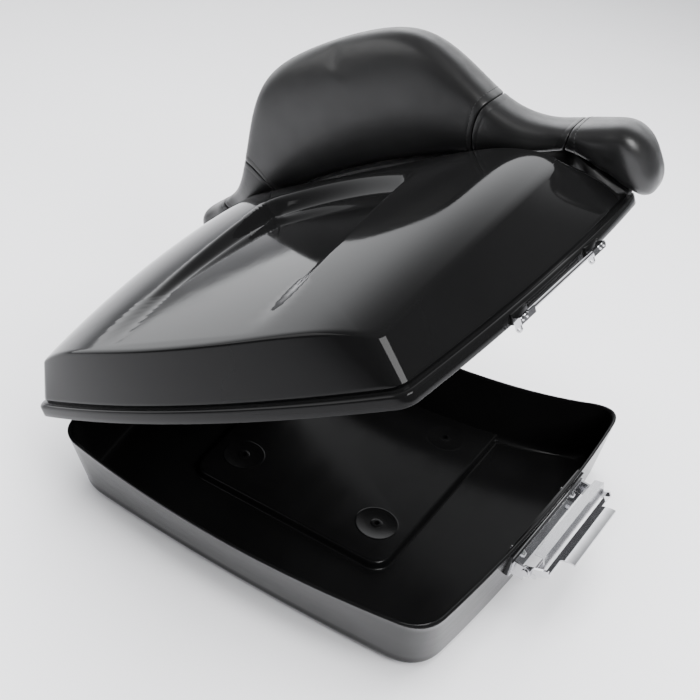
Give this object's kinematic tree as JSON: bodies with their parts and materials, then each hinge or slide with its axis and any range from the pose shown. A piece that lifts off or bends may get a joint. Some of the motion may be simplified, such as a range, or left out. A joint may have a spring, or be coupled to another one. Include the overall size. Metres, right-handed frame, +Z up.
{
  "type": "motorcycle tour trunk",
  "caption": "Low hard motorcycle tour trunk: open tub, side-hinged lid with a side draw latch, and a wrap-around passenger back pad on the lid's front edge.",
  "frame": {"origin": "centre of the four-hole rack bolt pattern, on the underside of the tub", "axes": "+X towards the latch side, +Y towards the front of the motorcycle (the pad side), +Z up"},
  "size_m": [0.7378, 0.5692, 0.529],
  "materials": {
    "tub_plastic": "black moulded shell, satin inside",
    "lid_paint": "high gloss black paint",
    "seal_rubber": "matt",
    "chrome": "polished",
    "steel": "zinc plated",
    "vinyl": "smooth black vinyl",
    "board": "fine texture",
    "black_steel": "satin black"
  },
  "bodies": {
    "tub_body": {"tub": "tub_plastic", "hinge_leaf_tub": "chrome", "hinge_pins": "steel", "hinge_screws": "steel", "hinge_nuts": "steel", "latch_base": "chrome", "latch_screws": "steel", "latch_nuts": "steel", "latch_stub_pins": "chrome"},
    "lid_body": {"lid": "lid_paint", "lid_seal": "seal_rubber", "hinge_leaf_lid": "chrome", "hinge_rivets": "steel", "keeper_blocks": "chrome", "keeper_bar": "chrome", "keeper_rivets": "chrome", "pad_board": "board", "pad_centre": "vinyl", "pad_neck_left": "vinyl", "pad_neck_right": "vinyl", "pad_arm_left": "vinyl", "pad_arm_right": "vinyl", "pad_staples": "steel", "pad_brackets": "black_steel", "bracket_bolts": "steel", "bracket_nuts": "steel", "board_screws": "steel"},
    "handle_body": {"latch_handle": "chrome", "latch_link_rod": "chrome"},
    "draw_plate_body": {"latch_draw_plate": "chrome"}
  },
  "joints": [
    {"name": "lid_hinge", "type": "hinge", "parent": "tub_body", "child": "lid_body", "pos_m": [-0.3201, 0, 0.0804], "axis": [0, -1, 0], "range_deg": [-28.9, 36]},
    {"name": "handle_pivot", "type": "hinge", "parent": "tub_body", "child": "handle_body", "pos_m": [0.30358, -0.03601, 0.08], "axis": [-0.1219, -0.9925, 0], "range_deg": [-115, 5]},
    {"name": "plate_pivot", "type": "hinge", "parent": "handle_body", "child": "draw_plate_body", "pos_m": [0.31287, -0.03715, 0.07885], "axis": [0.1219, 0.9925, 0], "range_deg": [-100.05, 4.4]}
  ],
  "couplings": [
    {"joint": "plate_pivot", "follows": "handle_pivot", "ratio": 0.86957}
  ]
}
